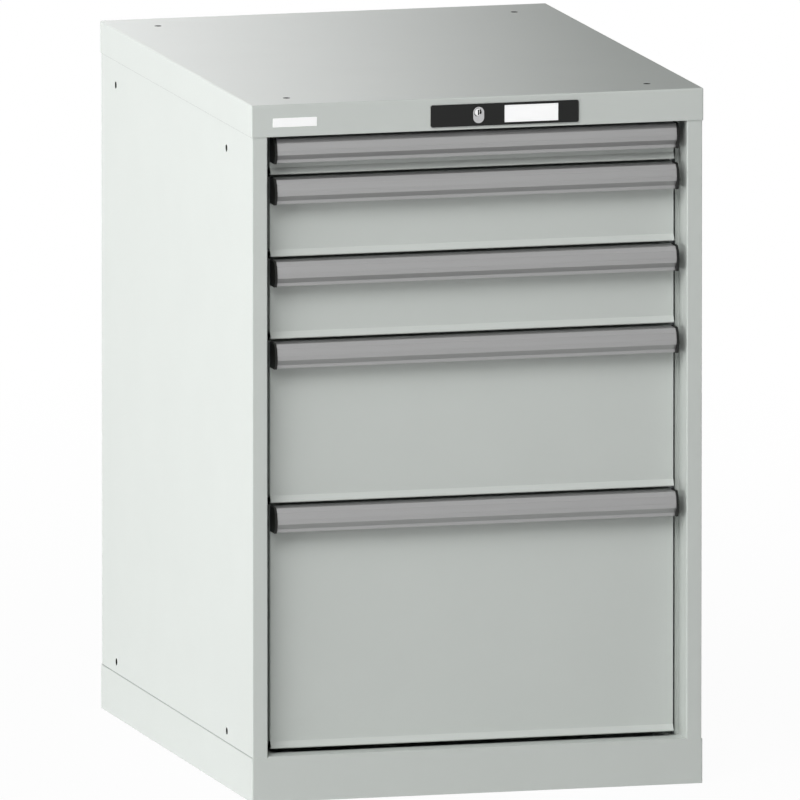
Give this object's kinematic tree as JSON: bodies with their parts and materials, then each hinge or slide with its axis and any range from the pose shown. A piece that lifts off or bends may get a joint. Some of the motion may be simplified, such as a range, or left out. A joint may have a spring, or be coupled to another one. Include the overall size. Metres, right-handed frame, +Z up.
{
  "type": "multi-drawer workshop cabinet",
  "caption": "Floor-standing steel cabinet with drawers of several heights on telescopic roller runners, full-width pull handles and one central lock.",
  "frame": {"origin": "on the floor under the middle of the cabinet", "axes": "+Z up, +X to the right seen from the front, the drawers open towards -Y"},
  "size_m": [0.564, 0.7286, 0.85],
  "materials": {
    "housing_paint": "light grey powder coat with fine orange peel",
    "drawer_paint": "light grey powder coat with fine orange peel",
    "zinc_steel": "galvanised sheet, dull",
    "handle_aluminium": "drawn and anodised, satin",
    "label_strip": "thin anodised strip for labels, bare",
    "black_plastic": "moulded, fine grain",
    "roller_plastic": "natural nylon",
    "lock_chrome": "polished",
    "card": "plain white card, bare"
  },
  "bodies": {
    "housing": {"right_side_panel": "housing_paint", "left_side_panel": "housing_paint", "back_panel": "housing_paint", "top_cover": "housing_paint", "plinth": "housing_paint", "floor_pan": "housing_paint", "front_crossbar": "zinc_steel", "front_uprights": "zinc_steel", "rear_uprights": "zinc_steel", "right_cabinet_rails": "zinc_steel", "left_cabinet_rails": "zinc_steel", "lock_plate": "black_plastic", "lock_card": "card", "lock_cylinder": "lock_chrome", "lock_clip": "zinc_steel", "guide_studs": "zinc_steel"},
    "drawer_1": {"drawer_1_tray": "drawer_paint", "drawer_1_front": "drawer_paint", "drawer_1_handle": "handle_aluminium", "drawer_1_handle_caps": "black_plastic", "drawer_1_label_strip": "label_strip", "drawer_1_rails": "zinc_steel"},
    "carriage_1": {"drawer_1_carriages": "zinc_steel", "drawer_1_rollers": "roller_plastic"},
    "drawer_2": {"drawer_2_tray": "drawer_paint", "drawer_2_front": "drawer_paint", "drawer_2_handle": "handle_aluminium", "drawer_2_handle_caps": "black_plastic", "drawer_2_label_strip": "label_strip", "drawer_2_rails": "zinc_steel"},
    "carriage_2": {"drawer_2_carriages": "zinc_steel", "drawer_2_rollers": "roller_plastic"},
    "drawer_3": {"drawer_3_tray": "drawer_paint", "drawer_3_front": "drawer_paint", "drawer_3_handle": "handle_aluminium", "drawer_3_handle_caps": "black_plastic", "drawer_3_label_strip": "label_strip", "drawer_3_rails": "zinc_steel"},
    "carriage_3": {"drawer_3_carriages": "zinc_steel", "drawer_3_rollers": "roller_plastic"},
    "drawer_4": {"drawer_4_tray": "drawer_paint", "drawer_4_front": "drawer_paint", "drawer_4_handle": "handle_aluminium", "drawer_4_handle_caps": "black_plastic", "drawer_4_label_strip": "label_strip", "drawer_4_rails": "zinc_steel"},
    "carriage_4": {"drawer_4_carriages": "zinc_steel", "drawer_4_rollers": "roller_plastic"},
    "drawer_5": {"drawer_5_tray": "drawer_paint", "drawer_5_front": "drawer_paint", "drawer_5_handle": "handle_aluminium", "drawer_5_handle_caps": "black_plastic", "drawer_5_label_strip": "label_strip", "drawer_5_rails": "zinc_steel"},
    "carriage_5": {"drawer_5_carriages": "zinc_steel", "drawer_5_rollers": "roller_plastic"},
    "lock_plug": {"lock_plug": "lock_chrome", "lock_cam": "zinc_steel"},
    "lock_slide": {"lock_slide": "zinc_steel"},
    "locking_bar": {"locking_bar": "zinc_steel"}
  },
  "joints": [
    {"name": "drawer_1_slide", "type": "slide", "parent": "housing", "child": "drawer_1", "axis": [0, -1, 0], "range_m": [0, 0.62]},
    {"name": "carriage_1_slide", "type": "slide", "parent": "housing", "child": "carriage_1", "axis": [0, -1, 0], "range_m": [0, 0.31]},
    {"name": "drawer_2_slide", "type": "slide", "parent": "housing", "child": "drawer_2", "axis": [0, -1, 0], "range_m": [0, 0.62]},
    {"name": "carriage_2_slide", "type": "slide", "parent": "housing", "child": "carriage_2", "axis": [0, -1, 0], "range_m": [0, 0.31]},
    {"name": "drawer_3_slide", "type": "slide", "parent": "housing", "child": "drawer_3", "axis": [0, -1, 0], "range_m": [0, 0.62]},
    {"name": "carriage_3_slide", "type": "slide", "parent": "housing", "child": "carriage_3", "axis": [0, -1, 0], "range_m": [0, 0.31]},
    {"name": "drawer_4_slide", "type": "slide", "parent": "housing", "child": "drawer_4", "axis": [0, -1, 0], "range_m": [0, 0.62]},
    {"name": "carriage_4_slide", "type": "slide", "parent": "housing", "child": "carriage_4", "axis": [0, -1, 0], "range_m": [0, 0.31]},
    {"name": "drawer_5_slide", "type": "slide", "parent": "housing", "child": "drawer_5", "axis": [0, -1, 0], "range_m": [0, 0.62]},
    {"name": "carriage_5_slide", "type": "slide", "parent": "housing", "child": "carriage_5", "axis": [0, -1, 0], "range_m": [0, 0.31]},
    {"name": "locking_bar_lift", "type": "slide", "parent": "housing", "child": "locking_bar", "axis": [0, 0, 1], "range_m": [0, 0.0055]},
    {"name": "lock_slide_shift", "type": "slide", "parent": "housing", "child": "lock_slide", "axis": [1, 0, 0], "range_m": [0, 0.01132]},
    {"name": "lock_plug_turn", "type": "hinge", "parent": "housing", "child": "lock_plug", "pos_m": [0, -0.345, 0.8315], "axis": [0, -1, 0], "range_deg": [0, 90]}
  ],
  "couplings": [
    {"joint": "carriage_1_slide", "follows": "drawer_1_slide", "ratio": 0.5},
    {"joint": "carriage_2_slide", "follows": "drawer_2_slide", "ratio": 0.5},
    {"joint": "carriage_3_slide", "follows": "drawer_3_slide", "ratio": 0.5},
    {"joint": "carriage_4_slide", "follows": "drawer_4_slide", "ratio": 0.5},
    {"joint": "carriage_5_slide", "follows": "drawer_5_slide", "ratio": 0.5},
    {"joint": "lock_slide_shift", "follows": "locking_bar_lift", "ratio": 2.057},
    {"joint": "lock_plug_turn", "follows": "locking_bar_lift", "rad_per_m": 285.59}
  ]
}
